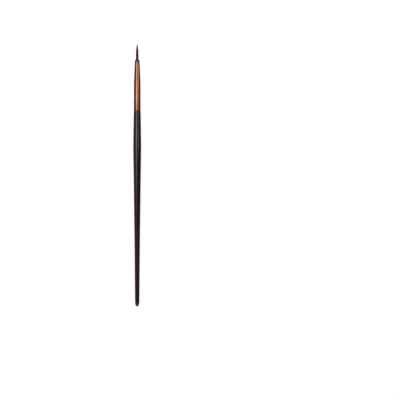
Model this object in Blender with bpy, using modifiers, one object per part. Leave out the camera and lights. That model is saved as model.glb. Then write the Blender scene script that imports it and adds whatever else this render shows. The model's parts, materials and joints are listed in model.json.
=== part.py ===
"""Fine detail brush: a turned, lacquered wooden handle, a drawn copper-coloured
ferrule and a small pointed tuft of synthetic filaments.

The brush lies along +Y with its tip towards +Y. Its axis is level, and the
widest part of the handle rests on Z = 0. X = 0 is the plane of symmetry, and
Y = 0 is halfway between the tail end and the tip.

Stations are distances along the brush from the tail end, in millimetres, and
are turned into metres by at() and MM. Every turned piece has the same number
of flats, so that one row of flats faces straight down. All diameters are
across the flats.
"""

import math

import bpy

MM = 0.001

# ---- driving dimensions, in millimetres ------------------------------------
LENGTH = 180.0  # tail end to the tip of the tuft
FLATS = 16  # flats round every turned piece; so few that it rests on one

# handle
TAIL_FLAT_D = 0.8  # small flat left on the tail end where it was parted off
TAIL_D = 2.80  # diameter where the rounded tail end begins
TAIL_DOME = 4.2  # length of the rounded tail end
STEM = (  # (station, diameter) along the slow swell from the tail to the belly
    (20.0, 3.13),
    (42.0, 3.57),
    (64.0, 4.11),
    (86.0, 4.69),
    (97.0, 5.01),
    (104.0, 5.20),
)
BELLY_D = 5.30  # thickest part, where the fingers hold it
BELLY_FROM = 108.5  # the belly is truly cylindrical between these two stations
BELLY_TO = 111.5
NECK = ((116.0, 5.20), (121.0, 5.04), (127.0, 4.82))
SHOULDER_AT = 134.0  # the ferrule butts against the handle here
SHOULDER_D = 4.58
SHOULDER_EDGE = 0.10  # small round on the shoulder's edge
TENON_D = 3.36
TENON_TO = 148.0
TENON_CHAMFER = 0.5

# ferrule
BUTT_GAP = 0.05  # between the shoulder and the ferrule's rear edge
FERRULE_D = 4.42
FERRULE_WALL = 0.30
TAPER_AT = 152.95  # where the straight part and the cone would meet if sharp
TAPER_ROUND = 3.0  # the bend between them is spread this far each way
CONE_GRADIENT = 0.086  # the cone's diameter lost for each millimetre
MOUTH_AT = 168.76
LIP_LENGTH = 0.50  # the rolled-in lip
BORE_D = 1.84  # clear bore in the lip

# adhesive between tenon and ferrule
GLUE_GAP = 0.04
GLUE_FROM = 134.4
GLUE_TO = 147.3

# tuft
ROOT_FROM = 153.0  # cut ends of the filaments, inside the ferrule
ROOT_D = 2.10
THROAT_D = 1.74  # bundle where it passes the lip
ROOT_TO = 168.95  # the fixed part of the bundle stands just proud of the mouth
PIVOT_AT = 169.9  # centre about which the free part of the tuft flexes
HEAD_D = 1.71
OGIVE_LINEAR = 0.15  # share of the head's diameter lost evenly along it
OGIVE_POWER = 3.6  # the rest is lost towards the point, with this power

# epoxy plug round the filament roots
PLUG_FROM = 151.0
PLUG_TO = 157.4
PLUG_GAP = 0.05

# binding thread
THREAD_D = 0.14
THREAD_TURNS = 5
THREAD_PITCH = 0.21
THREAD_FROM = 158.3
THREAD_GAP = 0.05
THREAD_POINTS = 18  # points for each turn

AXIS_HEIGHT = BELLY_D / 2


# ---- shapes as functions of the station ------------------------------------
def smooth_through(stations, s):
    """Monotone cubic through (station, diameter) pairs."""
    xs = [p[0] for p in stations]
    ys = [p[1] for p in stations]
    h = [b - a for a, b in zip(xs, xs[1:])]
    d = [(b - a) / w for a, b, w in zip(ys, ys[1:], h)]
    m = [d[0]]
    for i in range(1, len(xs) - 1):
        if d[i - 1] * d[i] <= 0:
            m.append(0.0)
        else:
            m.append(
                (h[i - 1] + h[i]) / (h[i] / d[i - 1] + h[i - 1] / d[i])
            )
    m.append(d[-1])
    for i, w in enumerate(h):
        if s <= xs[i + 1] or i == len(h) - 1:
            t = (s - xs[i]) / w
            return (
                ys[i] * (1 - 3 * t**2 + 2 * t**3)
                + m[i] * w * (t - 2 * t**2 + t**3)
                + ys[i + 1] * (3 * t**2 - 2 * t**3)
                + m[i + 1] * w * (t**3 - t**2)
            )


def handle_diameter(s):
    """Diameter of the lacquered handle, from the tail dome to the shoulder."""
    stations = (
        (TAIL_DOME, TAIL_D),
        *STEM,
        (BELLY_FROM, BELLY_D),
        (BELLY_TO, BELLY_D),
        *NECK,
        (SHOULDER_AT, SHOULDER_D),
    )
    return smooth_through(stations, s)


def cone_diameter(s):
    """Outside diameter of the ferrule: straight tube, eased bend, then cone."""
    if s <= TAPER_AT - TAPER_ROUND:
        return FERRULE_D
    if s >= TAPER_AT + TAPER_ROUND:
        return FERRULE_D - CONE_GRADIENT * (s - TAPER_AT)
    into = s - (TAPER_AT - TAPER_ROUND)
    return FERRULE_D - CONE_GRADIENT * into**2 / (4 * TAPER_ROUND)


def head_diameter(s):
    """Diameter of the free part of the tuft, from the pivot to the point."""
    u = (s - PIVOT_AT) / (LENGTH - PIVOT_AT)
    return HEAD_D * (1 - OGIVE_LINEAR * u - (1 - OGIVE_LINEAR) * u**OGIVE_POWER)


def steps(start, end, count):
    """count + 1 stations from start to end, both included."""
    return [start + (end - start) * i / count for i in range(count + 1)]


def at(s):
    """World Y of a station, in metres."""
    return (s - LENGTH / 2) * MM


# ---- profiles: (radius, station) from the tail end towards the tip ----------
def handle_profile():
    tail_r, flat_r = TAIL_D / 2, TAIL_FLAT_D / 2
    first = math.asin(flat_r / tail_r)
    dome = [
        (
            tail_r * math.sin(a),
            TAIL_DOME * (1 - math.cos(a) / math.cos(first)),
        )
        for a in steps(first, math.pi / 2, 8)
    ]
    swell_from = STEM[-2][0]  # the swell needs closer rings than the stem
    stem = [(handle_diameter(s) / 2, s) for s in steps(TAIL_DOME, swell_from, 20)[1:]]
    stem += [
        (handle_diameter(s) / 2, s) for s in steps(swell_from, BELLY_FROM, 8)[1:-1]
    ]
    belly = [(BELLY_D / 2, BELLY_FROM), (BELLY_D / 2, BELLY_TO)]
    last = SHOULDER_AT - SHOULDER_EDGE
    neck = [(handle_diameter(s) / 2, s) for s in steps(BELLY_TO, last, 14)[1:]]
    shoulder = [(SHOULDER_D / 2 - SHOULDER_EDGE, SHOULDER_AT)]
    tenon = [
        (TENON_D / 2, SHOULDER_AT),
        (TENON_D / 2, TENON_TO - TENON_CHAMFER),
        (TENON_D / 2 - TENON_CHAMFER, TENON_TO),
    ]
    return [(0.0, 0.0), *dome, *stem, *belly, *neck, *shoulder, *tenon, (0.0, TENON_TO)]


def inner_radius(s):
    """Inside radius of the ferrule behind its lip."""
    return cone_diameter(s) / 2 - FERRULE_WALL


def ferrule_profile():
    """A closed loop: out along the outside, round the lip, back along the bore."""
    rear = SHOULDER_AT + BUTT_GAP
    lip_at = MOUTH_AT - LIP_LENGTH
    lip_r = cone_diameter(lip_at) / 2
    bore_r = BORE_D / 2
    edge = 0.06
    outside = [(FERRULE_D / 2 - edge, rear), (FERRULE_D / 2, rear + edge)]
    outside += [(FERRULE_D / 2, TAPER_AT - TAPER_ROUND)]
    outside += [
        (cone_diameter(s) / 2, s)
        for s in steps(TAPER_AT - TAPER_ROUND, TAPER_AT + TAPER_ROUND, 6)[1:]
    ]
    outside += [
        (cone_diameter(s) / 2, s)
        for s in steps(TAPER_AT + TAPER_ROUND, lip_at, 4)[1:]
    ]
    lip = [
        (
            bore_r + (lip_r - bore_r) * math.cos(a),
            lip_at + LIP_LENGTH * math.sin(a),
        )
        for a in steps(0, math.pi / 2, 6)[1:]
    ]
    inside = [(bore_r, lip_at), (inner_radius(lip_at - 0.6), lip_at - 0.6)]
    inside += [
        (inner_radius(s), s)
        for s in steps(lip_at - 0.6, TAPER_AT + TAPER_ROUND, 3)[1:]
    ]
    inside += [
        (inner_radius(s), s)
        for s in steps(TAPER_AT + TAPER_ROUND, TAPER_AT - TAPER_ROUND, 6)[1:]
    ]
    inside += [(inner_radius(rear), rear)]
    return outside + lip + inside


def adhesive_profile():
    """A thin open sleeve between the tenon and the ferrule."""
    outer = FERRULE_D / 2 - FERRULE_WALL - GLUE_GAP
    inner = TENON_D / 2 + GLUE_GAP
    return [
        (inner, GLUE_FROM),
        (outer, GLUE_FROM),
        (outer, GLUE_TO),
        (inner, GLUE_TO),
    ]


def root_radius(s):
    """The bundle narrows evenly from its cut ends to the lip."""
    lip_at = MOUTH_AT - LIP_LENGTH
    into = min(1.0, (s - ROOT_FROM) / (lip_at - ROOT_FROM))
    return (ROOT_D + (THROAT_D - ROOT_D) * into) / 2


def root_profile():
    body = [(root_radius(s), s) for s in (ROOT_FROM, MOUTH_AT - LIP_LENGTH, ROOT_TO)]
    return [(0.0, ROOT_FROM), *body, (0.0, ROOT_TO)]


def plug_profile():
    """A cup of epoxy: solid behind the filaments, and round their cut ends."""
    outer = [
        (inner_radius(s) - PLUG_GAP, s) for s in steps(PLUG_FROM, PLUG_TO, 6)
    ]
    inner = [
        (root_radius(s) + PLUG_GAP, s)
        for s in steps(PLUG_TO, ROOT_FROM - PLUG_GAP, 3)
    ]
    return [(0.0, PLUG_FROM), *outer, *inner, (0.0, ROOT_FROM - PLUG_GAP)]


def head_profile():
    """A ball-ended ogive: the ball is centred on the pivot, so it turns clear
    of the fixed part of the bundle."""
    ball_r = HEAD_D / 2
    ball = [
        (ball_r * math.sin(a), PIVOT_AT - ball_r * math.cos(a))
        for a in steps(0, math.pi / 2, 6)
    ]
    share = [1 - (1 - u) ** 1.6 for u in steps(0, 1, 14)]
    ogive = [
        (head_diameter(s) / 2, s)
        for s in (PIVOT_AT + (LENGTH - PIVOT_AT) * u for u in share[1:-1])
    ]
    return [*ball, *ogive, (0.0, LENGTH)]


# ---- building --------------------------------------------------------------
def clear_scene():
    for obj in list(bpy.data.objects):
        bpy.data.objects.remove(obj, do_unlink=True)


def material(name, colour, roughness, metallic=0.0):
    made = bpy.data.materials.new(name)
    made.use_nodes = True
    shader = made.node_tree.nodes["Principled BSDF"]
    shader.inputs["Base Color"].default_value = (*colour, 1.0)
    shader.inputs["Roughness"].default_value = roughness
    shader.inputs["Metallic"].default_value = metallic
    made.diffuse_color = (*colour, 1.0)
    return made


def empty(name, collection, location, parent=None):
    made = bpy.data.objects.new(name, None)
    made.empty_display_size = 0.005
    made.location = location
    if parent:
        made.parent = parent
    collection.objects.link(made)
    return made


def turned(name, profile, finish, collection, axis, origin=0.0):
    """A piece turned about the brush's axis. The profile is given from the tail
    towards the tip, and the Screw wants it the other way round."""
    half_flat = math.pi / FLATS
    reach = 1 / math.cos(half_flat)  # corners stand out, so flats are at size
    points = [
        (
            r * reach * MM * math.cos(half_flat),
            r * reach * MM * math.sin(half_flat),
            (s - origin) * MM,
        )
        for r, s in reversed(profile)
    ]
    closed = profile[0][0] > 0 and profile[-1][0] > 0
    edges = [(i, i + 1) for i in range(len(points) - 1)]
    if closed:
        edges.append((len(points) - 1, 0))
    mesh = bpy.data.meshes.new(name)
    mesh.from_pydata(points, edges, [])
    mesh.materials.append(finish)
    made = bpy.data.objects.new(name, mesh)
    made.parent = axis
    collection.objects.link(made)
    screw = made.modifiers.new("turn", "SCREW")
    screw.axis = "Z"
    screw.angle = 2 * math.pi
    screw.screw_offset = 0.0
    screw.steps = FLATS
    screw.render_steps = FLATS
    screw.use_merge_vertices = True
    screw.merge_threshold = 1e-6
    screw.use_smooth_shade = True
    return made


def thread_coil(finish, collection, axis):
    """A few close turns of thread round the roots of the filaments."""
    length = THREAD_TURNS * THREAD_PITCH
    r = max(root_radius(THREAD_FROM), root_radius(THREAD_FROM + length))
    r = r / math.cos(math.pi / FLATS) + THREAD_GAP + THREAD_D / 2
    curve = bpy.data.curves.new("binding_thread", "CURVE")
    curve.dimensions = "3D"
    curve.bevel_depth = THREAD_D / 2 * MM
    curve.bevel_resolution = 2
    curve.use_fill_caps = True
    spline = curve.splines.new("POLY")
    count = THREAD_TURNS * THREAD_POINTS
    spline.points.add(count)
    for i in range(count + 1):
        a = 2 * math.pi * i / THREAD_POINTS
        s = THREAD_FROM + length * i / count - LENGTH / 2
        spline.points[i].co = (r * math.cos(a) * MM, r * math.sin(a) * MM, s * MM, 1.0)
    curve.materials.append(finish)
    made = bpy.data.objects.new("binding_thread", curve)
    made.parent = axis
    collection.objects.link(made)
    return made


def main():
    clear_scene()
    brush = bpy.data.collections.new("fine_detail_brush")
    bpy.context.scene.collection.children.link(brush)

    lacquer = material("handle_lacquer", (0.030, 0.017, 0.015), 0.22)
    copper = material("ferrule_copper", (0.62, 0.29, 0.18), 0.28, 1.0)
    glue = material("handle_glue", (0.55, 0.40, 0.20), 0.45)
    epoxy = material("root_epoxy", (0.60, 0.52, 0.36), 0.30)
    thread = material("thread", (0.62, 0.58, 0.50), 0.85)
    filament = material("filament", (0.050, 0.030, 0.026), 0.55)

    # The brush's own axis: local Z runs along the brush, towards the tip.
    axis = empty("brush_axis", brush, (0, 0, AXIS_HEIGHT * MM))
    axis.rotation_euler = (-math.pi / 2, 0, 0)
    # The free part of the tuft flexes about a vertical line through this point.
    flex = empty("tuft_flex_axis", brush, (0, 0, (PIVOT_AT - LENGTH / 2) * MM), axis)

    middle = LENGTH / 2
    turned("handle", handle_profile(), lacquer, brush, axis, middle)
    turned("handle_adhesive", adhesive_profile(), glue, brush, axis, middle)
    turned("ferrule", ferrule_profile(), copper, brush, axis, middle)
    turned("root_glue_plug", plug_profile(), epoxy, brush, axis, middle)
    thread_coil(thread, brush, axis)
    turned("tuft_root", root_profile(), filament, brush, axis, middle)
    turned("tuft_head", head_profile(), filament, brush, flex, PIVOT_AT)


main()
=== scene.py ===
"""Looks for the fine detail brush: high-resolution turned handle and ferrule,
a tuft of separate tapered filaments, and a procedural material for every piece.
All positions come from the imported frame. Stations are millimetres from the
tail end of the handle, measured along the brush."""

import json
import math

import bpy
import numpy as np
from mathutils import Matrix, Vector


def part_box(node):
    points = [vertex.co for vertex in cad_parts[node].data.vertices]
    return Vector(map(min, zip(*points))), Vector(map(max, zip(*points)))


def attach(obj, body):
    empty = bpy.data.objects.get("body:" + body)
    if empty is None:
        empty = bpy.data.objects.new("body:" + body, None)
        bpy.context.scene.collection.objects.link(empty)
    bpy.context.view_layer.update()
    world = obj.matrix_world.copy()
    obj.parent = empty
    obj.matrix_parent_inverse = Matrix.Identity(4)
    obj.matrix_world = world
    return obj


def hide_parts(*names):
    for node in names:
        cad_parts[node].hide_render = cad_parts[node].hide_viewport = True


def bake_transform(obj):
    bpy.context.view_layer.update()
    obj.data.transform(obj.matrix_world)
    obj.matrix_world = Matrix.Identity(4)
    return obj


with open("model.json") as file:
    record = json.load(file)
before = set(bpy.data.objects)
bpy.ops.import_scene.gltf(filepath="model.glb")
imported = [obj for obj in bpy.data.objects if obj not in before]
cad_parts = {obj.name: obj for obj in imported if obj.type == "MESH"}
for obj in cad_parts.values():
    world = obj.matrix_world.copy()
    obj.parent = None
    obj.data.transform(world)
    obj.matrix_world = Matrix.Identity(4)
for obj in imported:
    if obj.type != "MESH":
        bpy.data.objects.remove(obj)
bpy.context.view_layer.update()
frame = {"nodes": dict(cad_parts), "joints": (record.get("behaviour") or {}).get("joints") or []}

MM = 0.001

# ---------------------------------------------------------------- the frame --
handle_lo, handle_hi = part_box("handle")
ferrule_lo, ferrule_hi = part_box("ferrule")
root_lo, root_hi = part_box("tuft_root")
head_lo, head_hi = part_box("tuft_head")

TAIL_Y = handle_lo.y
TIP_Y = head_hi.y
AXIS_X = (handle_lo.x + handle_hi.x) / 2
AXIS_Z = (handle_lo.z + handle_hi.z) / 2
PIVOT = next(j for j in frame["joints"] if j["name"] == "tuft_flex")["pos_m"]


def station(y):
    return (y - TAIL_Y) / MM


def at(s):
    return TAIL_Y + s * MM


LENGTH = station(TIP_Y)
TENON_TO = station(handle_hi.y)
FERRULE_FROM = station(ferrule_lo.y)
MOUTH_AT = station(ferrule_hi.y)
ROOT_FROM = station(root_lo.y)
PIVOT_AT = station(PIVOT[1])
BELLY_D = (handle_hi.x - handle_lo.x) / MM
FERRULE_D = (ferrule_hi.x - ferrule_lo.x) / MM
ROOT_D = (root_hi.x - root_lo.x) / MM
HEAD_D = (head_hi.x - head_lo.x) / MM

# the same turning stations as the solids
TAIL_FLAT_D, TAIL_D, TAIL_DOME = 0.8, 2.80, 4.2
STEM = (
    (20.0, 3.13),
    (42.0, 3.57),
    (64.0, 4.11),
    (86.0, 4.69),
    (97.0, 5.01),
    (104.0, 5.20),
)
BELLY_FROM, BELLY_TO = 108.5, 111.5
NECK = ((116.0, 5.20), (121.0, 5.04), (127.0, 4.82))
SHOULDER_AT, SHOULDER_D = 134.0, 4.58
TENON_D, TENON_CHAMFER = 3.36, 0.5
FERRULE_WALL = 0.30
TAPER_AT, TAPER_ROUND, CONE_GRADIENT = 152.95, 3.0, 0.086
LIP_LENGTH, BORE_D = 0.50, 1.84
THROAT_D = 1.74
OGIVE_LINEAR, OGIVE_POWER = 0.15, 3.6


# ------------------------------------------------------------------ profiles --
def steps(start, end, count):
    return [start + (end - start) * i / count for i in range(count + 1)]


def smooth_through(stations, s):
    """Monotone cubic through (station, diameter) pairs."""
    xs = [p[0] for p in stations]
    ys = [p[1] for p in stations]
    h = [b - a for a, b in zip(xs, xs[1:])]
    d = [(b - a) / w for a, b, w in zip(ys, ys[1:], h)]
    m = [d[0]]
    for i in range(1, len(xs) - 1):
        if d[i - 1] * d[i] <= 0:
            m.append(0.0)
        else:
            m.append((h[i - 1] + h[i]) / (h[i] / d[i - 1] + h[i - 1] / d[i]))
    m.append(d[-1])
    for i, w in enumerate(h):
        if s <= xs[i + 1] or i == len(h) - 1:
            t = (s - xs[i]) / w
            return (
                ys[i] * (1 - 3 * t**2 + 2 * t**3)
                + m[i] * w * (t - 2 * t**2 + t**3)
                + ys[i + 1] * (3 * t**2 - 2 * t**3)
                + m[i + 1] * w * (t**3 - t**2)
            )


def cone_diameter(s):
    if s <= TAPER_AT - TAPER_ROUND:
        return FERRULE_D
    if s >= TAPER_AT + TAPER_ROUND:
        return FERRULE_D - CONE_GRADIENT * (s - TAPER_AT)
    into = s - (TAPER_AT - TAPER_ROUND)
    return FERRULE_D - CONE_GRADIENT * into**2 / (4 * TAPER_ROUND)


def inner_radius(s):
    return cone_diameter(s) / 2 - FERRULE_WALL


def handle_radius(s):
    """The lacquered outside, between the tail dome and the shoulder."""
    stations = (
        (TAIL_DOME, TAIL_D),
        *STEM,
        (BELLY_FROM, BELLY_D),
        (BELLY_TO, BELLY_D),
        *NECK,
        (SHOULDER_AT, SHOULDER_D),
    )
    return smooth_through(stations, s) / 2


def handle_profile():
    """(radius, station, finish) with finish 0 lacquer and 1 bare wood."""
    tail_r, flat_r = TAIL_D / 2, TAIL_FLAT_D / 2
    # a full, blunt dome: 1 would be an ellipse, and less is blunter
    blunt = 0.78
    first = math.asin((flat_r / tail_r) ** (1 / blunt))

    def dome(a):
        return (
            tail_r * math.sin(a) ** blunt,
            TAIL_DOME * (1 - (max(0.0, math.cos(a)) / math.cos(first)) ** blunt),
        )

    # the small flat, its edge rubbed round, and the dome
    inner, (outer_r, outer_s) = flat_r * 0.45, dome(first + 0.16)
    points = [(0.0, 0.0, 0), (inner * 0.6, 0.0, 0)]
    points += [
        (
            inner * (1 - t) ** 2 + 2 * flat_r * t * (1 - t) + outer_r * t**2,
            outer_s * t**2,
            0,
        )
        for t in steps(0, 1, 9)
    ]
    points += [(*dome(a), 0) for a in steps(first + 0.16, math.pi / 2, 24)[1:]]
    points += [(handle_radius(s), s, 0) for s in steps(TAIL_DOME, BELLY_FROM, 86)[1:]]
    points += [(handle_radius(s), s, 0) for s in steps(BELLY_FROM, BELLY_TO, 4)[1:]]
    roll_from = SHOULDER_AT - 0.62
    points += [(handle_radius(s), s, 0) for s in steps(BELLY_TO, roll_from, 34)[1:]]
    # the lacquer rolls over the shoulder's edge and ends on its face
    r, roll_r = handle_radius(roll_from), 0.13
    points += [
        (
            r - roll_r * (1 - math.cos(a)),
            roll_from + (SHOULDER_AT - roll_from) * math.sin(a),
            0,
        )
        for a in steps(0, math.pi / 2, 9)[1:]
    ]
    points += [(TENON_D / 2 + 0.12, SHOULDER_AT, 0)]
    # the bare tenon, with the lathe's small fillet at its root
    points += [
        (TENON_D / 2 + 0.06, SHOULDER_AT + 0.01, 1),
        (TENON_D / 2 + 0.02, SHOULDER_AT + 0.05, 1),
        (TENON_D / 2, SHOULDER_AT + 0.12, 1),
    ]
    points += [
        (TENON_D / 2, s, 1)
        for s in steps(SHOULDER_AT + 1.0, TENON_TO - TENON_CHAMFER - 0.2, 8)
    ]
    points += [
        (TENON_D / 2 - 0.03, TENON_TO - TENON_CHAMFER + 0.02, 1),
        (TENON_D / 2 - TENON_CHAMFER + 0.03, TENON_TO - 0.03, 1),
        (TENON_D / 2 - TENON_CHAMFER - 0.08, TENON_TO, 1),
        (0.5, TENON_TO, 1),
        (0.0, TENON_TO, 1),
    ]
    return points


def ferrule_profile():
    """A closed loop: along the outside, round the lip, and back inside."""
    rear = FERRULE_FROM
    lip_at = MOUTH_AT - LIP_LENGTH
    r = FERRULE_D / 2
    edge = 0.07
    points = [
        (r - edge + edge * math.sin(a), rear + edge * (1 - math.cos(a)), 0)
        for a in steps(0, math.pi / 2, 5)
    ]
    points += [
        (r, s, 0) for s in steps(rear + edge, TAPER_AT - TAPER_ROUND, 22)[1:]
    ]
    points += [
        (cone_diameter(s) / 2, s, 0)
        for s in steps(TAPER_AT - TAPER_ROUND, TAPER_AT + TAPER_ROUND, 16)[1:]
    ]
    points += [
        (cone_diameter(s) / 2, s, 0)
        for s in steps(TAPER_AT + TAPER_ROUND, lip_at, 26)[1:]
    ]
    lip_r, bore_r = cone_diameter(lip_at) / 2, BORE_D / 2
    points += [
        (
            bore_r + (lip_r - bore_r) * math.cos(a),
            lip_at + LIP_LENGTH * math.sin(a),
            0,
        )
        for a in steps(0, math.pi / 2 * 0.985, 16)[1:]
    ]
    points += [
        (bore_r + 0.003, MOUTH_AT - 0.02, 0),
        (bore_r, MOUTH_AT - 0.08, 0),
        (bore_r, lip_at + 0.1, 0),
        (bore_r + 0.02, lip_at - 0.02, 0),
    ]
    points += [
        (
            bore_r + (inner_radius(lip_at - 0.6) - bore_r) * (t * t * (3 - 2 * t)),
            lip_at - 0.02 - 0.58 * t,
            0,
        )
        for t in steps(0, 1, 6)[1:]
    ]
    points += [
        (inner_radius(s), s, 0)
        for s in steps(lip_at - 0.6, TAPER_AT + TAPER_ROUND, 10)[1:]
    ]
    points += [
        (inner_radius(s), s, 0)
        for s in steps(TAPER_AT + TAPER_ROUND, TAPER_AT - TAPER_ROUND, 10)[1:]
    ]
    points += [
        (inner_radius(s), s, 0)
        for s in steps(TAPER_AT - TAPER_ROUND, rear + 0.05, 12)[1:]
    ]
    points += [(inner_radius(rear) + 0.04, rear, 0)]
    return points


def bundle_radius(s):
    """Outside of the tuft's bundle at a station."""
    lip_at = MOUTH_AT - LIP_LENGTH
    if s < lip_at:
        t = (s - ROOT_FROM) / (lip_at - ROOT_FROM)
        return (ROOT_D + (THROAT_D - ROOT_D) * t) / 2
    if s < PIVOT_AT:
        t = (s - lip_at) / (PIVOT_AT - lip_at)
        return (THROAT_D + (HEAD_D - THROAT_D) * t) / 2
    u = (s - PIVOT_AT) / (LENGTH - PIVOT_AT)
    return HEAD_D / 2 * (1 - OGIVE_LINEAR * u - (1 - OGIVE_LINEAR) * u**OGIVE_POWER)


# -------------------------------------------------------------------- meshes --
def make_object(name, vertices, faces, finishes=None, materials=()):
    mesh = bpy.data.meshes.new(name)
    mesh.from_pydata(vertices, [], faces)
    mesh.validate()
    if finishes is not None:
        mesh.polygons.foreach_set("material_index", finishes)
    for material in materials:
        mesh.materials.append(material)
    mesh.update()
    made = bpy.data.objects.new(name, mesh)
    bpy.context.scene.collection.objects.link(made)
    return made


def turned(name, profile, segments, materials):
    """A solid of revolution about the brush's axis, in place."""
    closed = profile[0][0] > 0 and profile[-1][0] > 0
    vertices, rings = [], []
    for r, s, _ in profile:
        if r <= 0:
            rings.append([len(vertices)])
            vertices.append((AXIS_X, at(s), AXIS_Z))
            continue
        rings.append(list(range(len(vertices), len(vertices) + segments)))
        for i in range(segments):
            a = 2 * math.pi * i / segments
            vertices.append(
                (
                    AXIS_X + r * MM * math.sin(a),
                    at(s),
                    AXIS_Z + r * MM * math.cos(a),
                )
            )
    pairs = list(zip(range(len(rings)), range(1, len(rings))))
    if closed:
        pairs.append((len(rings) - 1, 0))
    faces, finishes = [], []
    for a, b in pairs:
        first, second = rings[a], rings[b]
        for i in range(segments):
            j = (i + 1) % segments
            if len(first) == 1:
                face = (first[0], second[j], second[i])
            elif len(second) == 1:
                face = (first[i], first[j], second[0])
            else:
                face = (first[i], first[j], second[j], second[i])
            faces.append(face)
            finishes.append(profile[b][2])
    made = make_object(name, vertices, faces, finishes, materials)
    if signed_volume(made.data) < 0:
        made.data.flip_normals()
    made.data.shade_smooth()
    made.data.set_sharp_from_angle(angle=math.radians(50))
    return made


def signed_volume(mesh):
    mesh.calc_loop_triangles()
    co = np.empty(len(mesh.vertices) * 3)
    mesh.vertices.foreach_get("co", co)
    tri = np.empty(len(mesh.loop_triangles) * 3, np.int32)
    mesh.loop_triangles.foreach_get("vertices", tri)
    p = co.reshape(-1, 3)[tri.reshape(-1, 3)]
    return float(np.einsum("ij,ij->i", p[:, 0], np.cross(p[:, 1], p[:, 2])).sum() / 6)


def filament_bundle(name, material, count=236, sides=6, seed=11):
    """Every filament is its own closed tapered strand. They are packed evenly
    across the bundle and keep their place in it as it narrows to a point."""
    rng = np.random.default_rng(seed)
    golden = math.pi * (3 - math.sqrt(5))
    fill = math.sqrt(0.70 / count)
    t_ring = np.concatenate(
        [np.linspace(0.0, 0.57, 5)[:-1], 0.57 + 0.43 * (1 - (1 - np.linspace(0, 1, 31)) ** 1.25)]
    )
    vertices, faces, along, strand = [], [], [], []
    for i in range(count):
        rho = math.sqrt((i + 0.5) / count)
        theta = i * golden + rng.normal(0, 0.03)
        short = abs(rng.normal(0, 1)) * (0.06 + 0.30 * rho**2)
        end = LENGTH - 0.02 - min(short, 2.6) if i else LENGTH - 0.001
        start = ROOT_FROM + 0.03 + rng.uniform(0, 0.10)
        tint = rng.uniform(0, 1)
        twist = rng.normal(0.10, 0.05)
        sway = rng.normal(0, 0.012, 2)
        phase = rng.uniform(0, 2 * math.pi, 2)
        thick = fill * rng.uniform(0.86, 1.04)
        base = len(vertices)
        stations = start + (end - start) * t_ring
        for k, s in enumerate(stations):
            r_bundle = bundle_radius(min(s, LENGTH - 0.03))
            close = min(1.0, max(0.0, (end - s) / 2.2))
            r = max(0.004, thick * r_bundle * (0.22 + 0.78 * close**0.7))
            free = max(0.0, (s - MOUTH_AT) / (LENGTH - MOUTH_AT))
            reach = rho * max(0.0, r_bundle - r)
            turn = theta + twist * free
            wander = free * (1 - free) * 2.2
            cx = reach * math.cos(turn) + sway[0] * wander * math.sin(s * 0.9 + phase[0])
            cz = reach * math.sin(turn) + sway[1] * wander * math.sin(s * 0.8 + phase[1])
            for q in range(sides):
                a = 2 * math.pi * q / sides + theta
                vertices.append(
                    (
                        AXIS_X + (cx + r * math.cos(a)) * MM,
                        min(at(s), TIP_Y),
                        AXIS_Z + (cz + r * math.sin(a)) * MM,
                    )
                )
                along.append(free)
                strand.append(tint)
            if k:
                a0, b0 = base + (k - 1) * sides, base + k * sides
                for q in range(sides):
                    w = (q + 1) % sides
                    faces.append((a0 + q, b0 + q, b0 + w, a0 + w))
        faces.append(tuple(base + q for q in range(sides)))
        last = base + (len(stations) - 1) * sides
        faces.append(tuple(last + q for q in reversed(range(sides))))
    made = make_object(name, vertices, faces, None, (material,))
    if signed_volume(made.data) < 0:
        made.data.flip_normals()
    for label, values in (("along", along), ("strand", strand)):
        attribute = made.data.attributes.new(label, "FLOAT", "POINT")
        attribute.data.foreach_set("value", np.array(values, np.float32))
    made.data.shade_smooth()
    made.data.set_sharp_from_angle(angle=math.radians(70))
    return made


# ----------------------------------------------------------------- materials --
def fill_ramp(node, stops):
    elements = node.color_ramp.elements
    while len(elements) < len(stops):
        elements.new(1.0)
    for element, (where, colour) in zip(elements, stops):
        element.position = where
        element.color = (*colour, 1.0)


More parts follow.
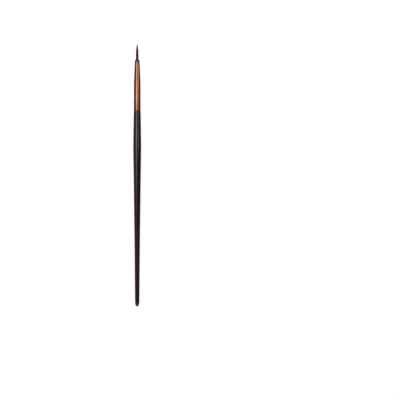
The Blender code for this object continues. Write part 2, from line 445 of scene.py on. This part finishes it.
class Shader:
    """A Principled material and short helpers for its procedural nodes."""

    def __init__(self, name, metallic=0.0):
        self.material = bpy.data.materials.new(name)
        self.material.use_nodes = True
        self.tree = self.material.node_tree
        self.out = self.tree.nodes["Principled BSDF"]
        self.out.inputs["Metallic"].default_value = metallic
        self.coords = self.add("ShaderNodeTexCoord").outputs["Object"]

    def add(self, kind, **settings):
        node = self.tree.nodes.new(kind)
        for key, value in settings.items():
            setattr(node, key, value)
        return node

    def link(self, source, target):
        self.tree.links.new(source, target)

    def set(self, socket, value):
        self.out.inputs[socket].default_value = value

    def feed(self, socket, source):
        self.link(source, self.out.inputs[socket])

    def stretched(self, scale, offset=(0, 0, 0)):
        """Object coordinates multiplied by a scale for each axis, per metre."""
        node = self.add("ShaderNodeMapping")
        node.inputs["Scale"].default_value = scale
        node.inputs["Location"].default_value = offset
        self.link(self.coords, node.inputs["Vector"])
        return node.outputs["Vector"]

    def noise(self, vector, scale=1.0, detail=3.0, rough=0.5):
        node = self.add("ShaderNodeTexNoise")
        node.inputs["Scale"].default_value = scale
        node.inputs["Detail"].default_value = detail
        node.inputs["Roughness"].default_value = rough
        self.link(vector, node.inputs["Vector"])
        return node.outputs["Fac"]

    def ramp(self, source, stops):
        node = self.add("ShaderNodeValToRGB")
        fill_ramp(node, stops)
        self.link(source, node.inputs["Fac"])
        return node.outputs["Color"]

    def remap(self, source, from_low, from_high, to_low, to_high):
        node = self.add("ShaderNodeMapRange", clamp=True)
        for socket, value in (
            ("From Min", from_low),
            ("From Max", from_high),
            ("To Min", to_low),
            ("To Max", to_high),
        ):
            node.inputs[socket].default_value = value
        self.link(source, node.inputs["Value"])
        return node.outputs["Result"]

    def maths(self, operation, a, b):
        node = self.add("ShaderNodeMath", operation=operation)
        for socket, value in zip(node.inputs, (a, b)):
            if isinstance(value, (int, float)):
                socket.default_value = value
            else:
                self.link(value, socket)
        return node.outputs["Value"]

    def mix(self, factor, a, b, blend="MIX"):
        node = self.add("ShaderNodeMix", data_type="RGBA", blend_type=blend)
        for socket, value in zip(
            (node.inputs[0], node.inputs[6], node.inputs[7]), (factor, a, b)
        ):
            if isinstance(value, (int, float)):
                socket.default_value = value
            elif isinstance(value, tuple):
                socket.default_value = (*value, 1.0)
            else:
                self.link(value, socket)
        return node.outputs[2]

    def bump(self, height, strength, distance, onto=None):
        node = self.add("ShaderNodeBump")
        node.inputs["Strength"].default_value = strength
        node.inputs["Distance"].default_value = distance
        self.link(height, node.inputs["Height"])
        if onto is not None:
            self.link(onto, node.inputs["Normal"])
        return node.outputs["Normal"]

    def along_y(self):
        node = self.add("ShaderNodeSeparateXYZ")
        self.link(self.coords, node.inputs[0])
        return node.outputs["Y"]


def lacquer():
    """Dark brown gloss lacquer over fine straight-grained wood."""
    m = Shader("dark_brown_lacquer")
    grain = m.noise(m.stretched((1500, 45, 1500)), 1.0, 5.0, 0.62)
    cloud = m.noise(m.stretched((160, 28, 160), (3, 1, 7)), 1.0, 2.0)
    colour = m.ramp(
        grain,
        [
            (0.30, (0.0095, 0.0045, 0.0037)),
            (0.52, (0.0150, 0.0068, 0.0056)),
            (0.78, (0.0270, 0.0130, 0.0108)),
        ],
    )
    # thinner, warmer and redder lacquer towards the tail end
    tail = m.remap(m.along_y(), at(35.0), at(100.0), 1.0, 0.0)
    colour = m.mix(m.maths("MULTIPLY", tail, 0.75), colour, (0.066, 0.035, 0.044))
    colour = m.mix(m.remap(cloud, 0.35, 0.70, 0.0, 0.35), colour, (0.0095, 0.0058, 0.0058))
    m.feed("Base Color", colour)
    m.feed("Roughness", m.remap(grain, 0.25, 0.75, 0.20, 0.32))
    # the coat: soft flow marks, a fine orange peel and dust nibs
    flow = m.noise(m.stretched((420, 90, 420), (1, 4, 2)), 1.0, 2.0)
    peel = m.noise(m.stretched((2600, 2600, 2600)), 1.0, 1.0)
    scratch = m.noise(m.stretched((5200, 260, 5200), (9, 2, 5)), 1.0, 2.0, 0.4)
    normal = m.bump(flow, 0.10, 0.00030)
    normal = m.bump(peel, 0.05, 0.00006, normal)
    m.feed("Coat Normal", normal)
    m.feed("Normal", m.bump(scratch, 0.10, 0.00004, normal))
    m.set("Coat Weight", 1.0)
    m.set("Coat Roughness", 0.11)
    m.set("Coat IOR", 1.72)
    m.set("Specular IOR Level", 0.6)
    return m.material


def bare_wood():
    """The unlacquered tenon: pale hardwood with open pores."""
    m = Shader("bare_hardwood")
    grain = m.noise(m.stretched((2200, 60, 2200)), 1.0, 6.0, 0.65)
    pores = m.noise(m.stretched((6000, 420, 6000), (5, 5, 5)), 1.0, 2.0)
    colour = m.ramp(
        grain,
        [
            (0.30, (0.33, 0.20, 0.11)),
            (0.55, (0.47, 0.31, 0.18)),
            (0.80, (0.56, 0.40, 0.25)),
        ],
    )
    m.feed("Base Color", m.mix(m.remap(pores, 0.62, 0.74, 0.0, 0.6), colour, (0.17, 0.10, 0.055)))
    m.feed("Roughness", m.remap(pores, 0.3, 0.7, 0.60, 0.82))
    m.feed("Normal", m.bump(grain, 0.35, 0.00006))
    return m.material


def copper():
    """Copper-coloured drawn metal. It keeps fine draw lines along the tube and
    rings from spinning the cone and rolling the lip."""
    m = Shader("copper_ferrule", metallic=1.0)
    y = m.along_y()
    on_cone = m.remap(y, at(TAPER_AT - 1.5), at(TAPER_AT + 2.5), 0.0, 1.0)
    drawn = m.noise(m.stretched((5200, 70, 5200)), 1.0, 4.0, 0.6)
    spun = m.noise(m.stretched((90, 7800, 90), (2, 0, 6)), 1.0, 3.0, 0.6)
    blotch = m.noise(m.stretched((520, 170, 520), (4, 9, 1)), 1.0, 3.0)
    colour = m.ramp(
        blotch,
        [
            (0.28, (0.345, 0.232, 0.180)),
            (0.52, (0.400, 0.274, 0.215)),
            (0.78, (0.445, 0.310, 0.246)),
        ],
    )
    # the tube is a little darker, browner and rougher towards its rear end, and the lip is painted
    # much darker towards the mouth: painted shade where the lip rolls in
    rear = m.remap(y, at(FERRULE_FROM + 9.0), at(FERRULE_FROM + 0.1), 0.0, 0.48)
    lip_shade = m.remap(y, at(MOUTH_AT - 1.15), at(MOUTH_AT - 0.48), 0.0, 0.92)
    dull = m.maths("MAXIMUM", rear, lip_shade)
    colour = m.mix(rear, colour, (0.23, 0.120, 0.088))
    # painted shade on the rolled lip at the mouth
    colour = m.mix(lip_shade, colour, (0.070, 0.034, 0.026))
    m.feed("Base Color", colour)
    lines = m.mix(on_cone, drawn, spun)
    rough = m.remap(lines, 0.25, 0.75, 0.15, 0.23)
    m.feed("Roughness", m.maths("ADD", rough, m.maths("MULTIPLY", dull, 0.10)))
    normal = m.bump(lines, 0.16, 0.00002)
    m.feed("Normal", m.bump(blotch, 0.05, 0.00012, normal))
    m.set("Specular IOR Level", 0.5)
    return m.material


def filament():
    """Dark brown tapered filaments, redder and lighter towards their points."""
    m = Shader("brown_filament")
    along = m.add("ShaderNodeAttribute", attribute_name="along").outputs["Fac"]
    strand = m.add("ShaderNodeAttribute", attribute_name="strand").outputs["Fac"]
    streak = m.noise(m.stretched((9000, 350, 9000)), 1.0, 2.0)
    colour = m.ramp(
        along,
        [
            (0.00, (0.168, 0.129, 0.108)),
            (0.45, (0.152, 0.112, 0.095)),
            (0.80, (0.175, 0.115, 0.100)),
            (1.00, (0.320, 0.160, 0.140)),
        ],
    )
    colour = m.mix(m.remap(strand, 0.0, 1.0, 0.0, 0.55), colour, (0.054, 0.037, 0.033))
    colour = m.mix(m.remap(streak, 0.55, 0.75, 0.0, 0.30), colour, (0.240, 0.170, 0.144))
    m.feed("Base Color", colour)
    m.feed("Roughness", m.remap(m.maths("ADD", streak, strand), 0.3, 1.5, 0.34, 0.52))
    m.feed("Normal", m.bump(streak, 0.25, 0.000008))
    m.set("Specular IOR Level", 0.42)
    return m.material


def glue():
    """Cured amber adhesive, with small bubbles."""
    m = Shader("amber_adhesive")
    bubbles = m.noise(m.stretched((3200, 3200, 3200)), 1.0, 3.0)
    smear = m.noise(m.stretched((700, 300, 700)), 1.0, 2.0)
    colour = m.ramp(
        smear, [(0.3, (0.36, 0.21, 0.075)), (0.7, (0.56, 0.38, 0.17))]
    )
    m.feed("Base Color", colour)
    m.feed("Roughness", m.remap(bubbles, 0.3, 0.7, 0.28, 0.55))
    m.feed("Normal", m.bump(bubbles, 0.4, 0.00005))
    return m.material


def epoxy():
    """Pale cured epoxy, clouded where it wets the filaments."""
    m = Shader("root_epoxy")
    cloud = m.noise(m.stretched((1400, 900, 1400)), 1.0, 4.0)
    ripples = m.noise(m.stretched((500, 2400, 500), (2, 2, 2)), 1.0, 2.0)
    colour = m.ramp(
        cloud,
        [(0.3, (0.44, 0.35, 0.20)), (0.55, (0.60, 0.51, 0.33)), (0.8, (0.69, 0.62, 0.46))],
    )
    m.feed("Base Color", colour)
    m.feed("Roughness", m.remap(ripples, 0.3, 0.7, 0.16, 0.36))
    m.feed("Normal", m.bump(ripples, 0.25, 0.00006))
    m.set("Coat Weight", 0.4)
    return m.material


def thread():
    """Twisted polyester thread: fine plies that wind round it."""
    m = Shader("twisted_thread")
    wave = m.add("ShaderNodeTexWave", wave_type="BANDS", bands_direction="DIAGONAL")
    wave.inputs["Scale"].default_value = 1.0
    wave.inputs["Distortion"].default_value = 1.5
    wave.inputs["Detail"].default_value = 2.0
    m.link(m.stretched((9000, 5200, 9000)), wave.inputs["Vector"])
    plies = wave.outputs["Fac"]
    fuzz = m.noise(m.stretched((7000, 7000, 7000)), 1.0, 3.0)
    colour = m.ramp(plies, [(0.1, (0.40, 0.36, 0.29)), (0.9, (0.68, 0.64, 0.55))])
    m.feed("Base Color", m.mix(m.remap(fuzz, 0.4, 0.8, 0.0, 0.4), colour, (0.52, 0.47, 0.38)))
    m.feed("Roughness", m.remap(fuzz, 0.3, 0.7, 0.72, 0.94))
    m.feed("Normal", m.bump(plies, 0.6, 0.00002))
    m.set("Sheen Weight", 0.3)
    return m.material


# ------------------------------------------------------------- camera, light --
def softbox(name, angle, distance, width, y_from, y_to, radiance, across, along):
    """A softbox over the brush. angle is from straight up, positive to +X.
    across and along give how its light varies over its face, as in a diffuser
    lit unevenly from behind: (place, level, tint) and (place, level)."""
    length = y_to - y_from
    data = bpy.data.lights.new(name, "AREA")
    data.shape = "RECTANGLE"
    data.size, data.size_y = width, length
    data.energy = radiance * math.pi * width * length
    data.use_nodes = True
    tree = data.node_tree
    emission = next(n for n in tree.nodes if n.bl_idname == "ShaderNodeEmission")
    place = tree.nodes.new("ShaderNodeNewGeometry")
    split = tree.nodes.new("ShaderNodeSeparateXYZ")
    tree.links.new(place.outputs["Parametric"], split.inputs[0])
    for axis, stops, socket in (
        ("X", [(at_x, tuple(level * c for c in tint)) for at_x, level, tint in across], "Color"),
        ("Y", [(at_y, (level,) * 3) for at_y, level in along], "Strength"),
    ):
        ramp = tree.nodes.new("ShaderNodeValToRGB")
        fill_ramp(ramp, stops)
        tree.links.new(split.outputs[axis], ramp.inputs["Fac"])
        tree.links.new(ramp.outputs["Color"], emission.inputs[socket])
    made = bpy.data.objects.new(name, data)
    a = math.radians(angle)
    made.location = (
        AXIS_X + distance * math.sin(a),
        (y_from + y_to) / 2,
        AXIS_Z + distance * math.cos(a),
    )
    made.rotation_euler = (0.0, a, 0.0)
    made.visible_camera = False
    bpy.context.scene.collection.objects.link(made)
    return made


def studio():
    scene = bpy.context.scene
    scene.view_settings.view_transform = "Standard"
    # a little more contrast, as a product picture has
    scene.view_settings.gamma = 0.62

    # straight above the brush, as the product is pictured, from far enough off
    # that the view is nearly parallel
    camera = bpy.data.cameras.new("camera")
    camera.sensor_width = 36.0
    camera.lens = 200.0
    camera.clip_start, camera.clip_end = 0.05, 50.0
    view = bpy.data.objects.new("camera", camera)
    across = 0.2742
    distance = across * camera.lens / camera.sensor_width
    view.location = (AXIS_X + 0.04305, -0.0171, AXIS_Z + distance)
    scene.collection.objects.link(view)
    scene.camera = view

    neutral, warm, red = (0.965, 1.0, 0.995), (1.0, 0.91, 0.90), (1.0, 0.76, 0.73)
    softbox(
        "key_softbox", -22, 0.30, 0.405, -0.050, 0.300, 3.7,
        across=[
            (0.0, 0.0, red),
            (0.20, 0.42, warm),
            (0.36, 0.97, neutral),
            (0.44, 1.0, neutral),
            (0.60, 0.92, neutral),
            (0.77, 0.54, (1.0, 0.83, 0.80)),
            (0.90, 0.16, red),
            (1.0, 0.0, red),
        ],
        along=[
            (0.0, 0.0), (0.06, 0.08), (0.12, 0.36), (0.16, 0.53), (0.20, 0.63), (0.235, 0.69),
            (0.285, 0.87), (0.33, 0.59), (0.38, 0.49), (0.43, 0.57), (0.455, 0.57), (0.485, 0.50),
            (0.92, 0.47), (1.0, 0.0),
        ],
    )
    softbox(
        "fill_softbox", 33.5, 0.34, 0.340, 0.0, 0.260, 2.45,
        across=[
            (0.0, 0.0, red),
            (0.08, 0.46, red),
            (0.5, 0.58, red),
            (0.8, 0.74, (1.0, 0.93, 0.96)),
            (0.92, 1.06, (1.0, 0.98, 1.04)),
            (0.97, 1.06, (1.0, 0.98, 1.04)),
            (1.0, 0.3, neutral),
        ],
        along=[
            (0.0, 0.0), (0.045, 0.03), (0.06, 0.12), (0.08, 0.78), (0.10, 0.90), (0.14, 0.76),
            (0.18, 0.68), (0.215, 0.54), (0.25, 0.60), (0.29, 0.70), (0.33, 0.80), (0.42, 0.98),
            (0.9, 0.93), (1.0, 0.5),
        ],
    )

    world = bpy.data.worlds.new("studio")
    scene.world = world
    world.use_nodes = True
    world.cycles.sampling_method = "NONE"
    tree = world.node_tree
    tree.nodes.clear()
    out = tree.nodes.new("ShaderNodeOutputWorld")
    path = tree.nodes.new("ShaderNodeLightPath")

    def background(colour, strength):
        node = tree.nodes.new("ShaderNodeBackground")
        node.inputs["Color"].default_value = (*colour, 1.0)
        node.inputs["Strength"].default_value = strength
        return node.outputs[0]

    def choose(factor, other, this):
        node = tree.nodes.new("ShaderNodeMixShader")
        tree.links.new(factor, node.inputs[0])
        tree.links.new(other, node.inputs[1])
        tree.links.new(this, node.inputs[2])
        return node.outputs[0]

    soft = background((1.0, 1.0, 1.0), 1.0)
    white = background((1.0, 1.0, 1.0), 1.0)
    # what shows in the gloss besides the softboxes: a dim warm room above the
    # horizon and the pale table below it. The angle is round the brush, from
    # straight up.
    way = tree.nodes.new("ShaderNodeTexCoord")
    split = tree.nodes.new("ShaderNodeSeparateXYZ")
    tree.links.new(way.outputs["Generated"], split.inputs[0])
    angle = tree.nodes.new("ShaderNodeMath")
    angle.operation = "ARCTAN2"
    tree.links.new(split.outputs["X"], angle.inputs[0])
    tree.links.new(split.outputs["Z"], angle.inputs[1])
    turn = tree.nodes.new("ShaderNodeMath")
    turn.operation = "MULTIPLY_ADD"
    tree.links.new(angle.outputs[0], turn.inputs[0])
    turn.inputs[1].default_value = 0.5 / math.pi
    turn.inputs[2].default_value = 0.5

    def surroundings(*steps_round):
        ramp = tree.nodes.new("ShaderNodeValToRGB")
        fill_ramp(
            ramp,
            [
                ((degrees + 180) / 360, tuple(level * c for c in tint))
                for degrees, level, tint in steps_round
            ],
        )
        tree.links.new(turn.outputs[0], ramp.inputs["Fac"])
        return ramp.outputs["Color"]

    abreast = surroundings(
        (-180, 0.60, (1.0, 0.95, 0.93)),
        (-120, 0.72, (1.0, 0.95, 0.93)),
        (-98, 0.54, (1.0, 0.88, 0.84)),
        (-84, 0.30, (1.0, 0.64, 0.56)),
        (-60, 0.52, (1.0, 0.56, 0.47)),
        (4, 0.40, (1.0, 0.58, 0.49)),
        (24, 0.17, (1.0, 0.48, 0.40)),
        (50, 0.14, (1.0, 0.40, 0.32)),
        (75, 0.12, (1.0, 0.56, 0.48)),
        (90, 0.12, (1.0, 0.74, 0.68)),
        (100, 0.38, (1.0, 0.88, 0.84)),
        (125, 0.60, (1.0, 0.94, 0.92)),
        (180, 0.60, (1.0, 0.94, 0.92)),
    )
    # towards the two ends of the brush the room opens: a long window high on
    # each side, darker walls under it
    beyond = surroundings(
        (-180, 0.75, (1.0, 0.95, 0.92)),
        (-112, 0.70, (1.0, 0.93, 0.89)),
        (-94, 0.16, (1.0, 0.78, 0.68)),
        (-72, 0.22, (1.0, 0.82, 0.72)),
        (-58, 1.70, (1.0, 0.96, 0.92)),
        (-24, 2.20, (1.0, 0.97, 0.94)),
        (-10, 0.35, (1.0, 0.86, 0.78)),
        (10, 0.35, (1.0, 0.86, 0.78)),
        (24, 2.20, (1.0, 0.97, 0.94)),
        (58, 1.70, (1.0, 0.96, 0.92)),
        (72, 0.22, (1.0, 0.82, 0.72)),
        (94, 0.16, (1.0, 0.78, 0.68)),
        (112, 0.70, (1.0, 0.93, 0.89)),
        (180, 0.75, (1.0, 0.95, 0.92)),
    )
    lengthwise = tree.nodes.new("ShaderNodeMath")
    lengthwise.operation = "ABSOLUTE"
    tree.links.new(split.outputs["Y"], lengthwise.inputs[0])
    opening = tree.nodes.new("ShaderNodeMapRange")
    opening.interpolation_type = "SMOOTHSTEP"
    opening.inputs["From Min"].default_value = 0.20
    opening.inputs["From Max"].default_value = 0.48
    tree.links.new(lengthwise.outputs[0], opening.inputs["Value"])
    # straight along the brush the windows end and the far walls are dark
    far_walls = tree.nodes.new("ShaderNodeMapRange")
    far_walls.interpolation_type = "SMOOTHSTEP"
    far_walls.inputs["From Min"].default_value = 0.76
    far_walls.inputs["From Max"].default_value = 0.97
    far_walls.inputs["To Min"].default_value = 1.0
    far_walls.inputs["To Max"].default_value = 0.10
    tree.links.new(lengthwise.outputs[0], far_walls.inputs["Value"])
    room = tree.nodes.new("ShaderNodeMix")
    room.data_type = "RGBA"
    tree.links.new(opening.outputs["Result"], room.inputs[0])
    tree.links.new(abreast, room.inputs[6])
    tree.links.new(beyond, room.inputs[7])
    dark = background((1.0, 1.0, 1.0), 1.0)
    tree.links.new(room.outputs[2], dark.node.inputs["Color"])
    tree.links.new(far_walls.outputs["Result"], dark.node.inputs["Strength"])
    mixed = choose(path.outputs["Is Glossy Ray"], soft, dark)
    mixed = choose(path.outputs["Is Camera Ray"], mixed, white)
    tree.links.new(mixed, out.inputs["Surface"])

    # the surface it lies on: it touches the belly and the tail end, as a
    # tabletop does under a brush that is thicker in the middle
    belly_y, tail_y = at(BELLY_FROM), at(TAIL_DOME)
    drop = (BELLY_D - TAIL_D) / 2 * MM
    lean = math.atan2(-drop, belly_y - tail_y)
    half = 6.0
    floor = make_object(
        "floor",
        [(-half, -half, 0), (half, -half, 0), (half, half, 0), (-half, half, 0)],
        [(0, 1, 2, 3)],
    )
    floor.location = (0.0, belly_y, -0.00004)
    floor.rotation_euler = (lean, 0.0, 0.0)
    pale = Shader("pale_floor")
    tone = pale.noise(pale.stretched((3, 3, 3)), 1.0, 2.0)
    pale.feed(
        "Base Color", pale.ramp(tone, [(0.2, (0.215, 0.215, 0.215)), (0.8, (0.225, 0.225, 0.225))])
    )
    pale.set("Roughness", 0.95)
    pale.set("Specular IOR Level", 0.0)
    # a light table: it glows a little from below, so shadows on it stay faint
    pale.set("Emission Color", (1.0, 1.0, 1.0, 1.0))
    pale.set("Emission Strength", 0.78)
    floor.data.materials.append(pale.material)
    floor.visible_glossy = False


# --------------------------------------------------------------------- build --
def main():
    studio()

    handle = turned("lacquered_handle", handle_profile(), 112, (lacquer(), bare_wood()))
    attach(handle, "brush")
    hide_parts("handle")

    ferrule = turned("copper_ferrule", ferrule_profile(), 112, (copper(),))
    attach(ferrule, "brush")
    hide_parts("ferrule")

    strands = filament_bundle("tuft_filaments", filament())
    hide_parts("tuft_root", "tuft_head")
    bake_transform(strands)

    for node, material in (
        ("handle_adhesive", glue()),
        ("root_glue_plug", epoxy()),
        ("binding_thread", thread()),
    ):
        mesh = frame["nodes"][node].data
        mesh.materials.clear()
        mesh.materials.append(material)
        mesh.shade_smooth()
        mesh.set_sharp_from_angle(angle=math.radians(40))


main()
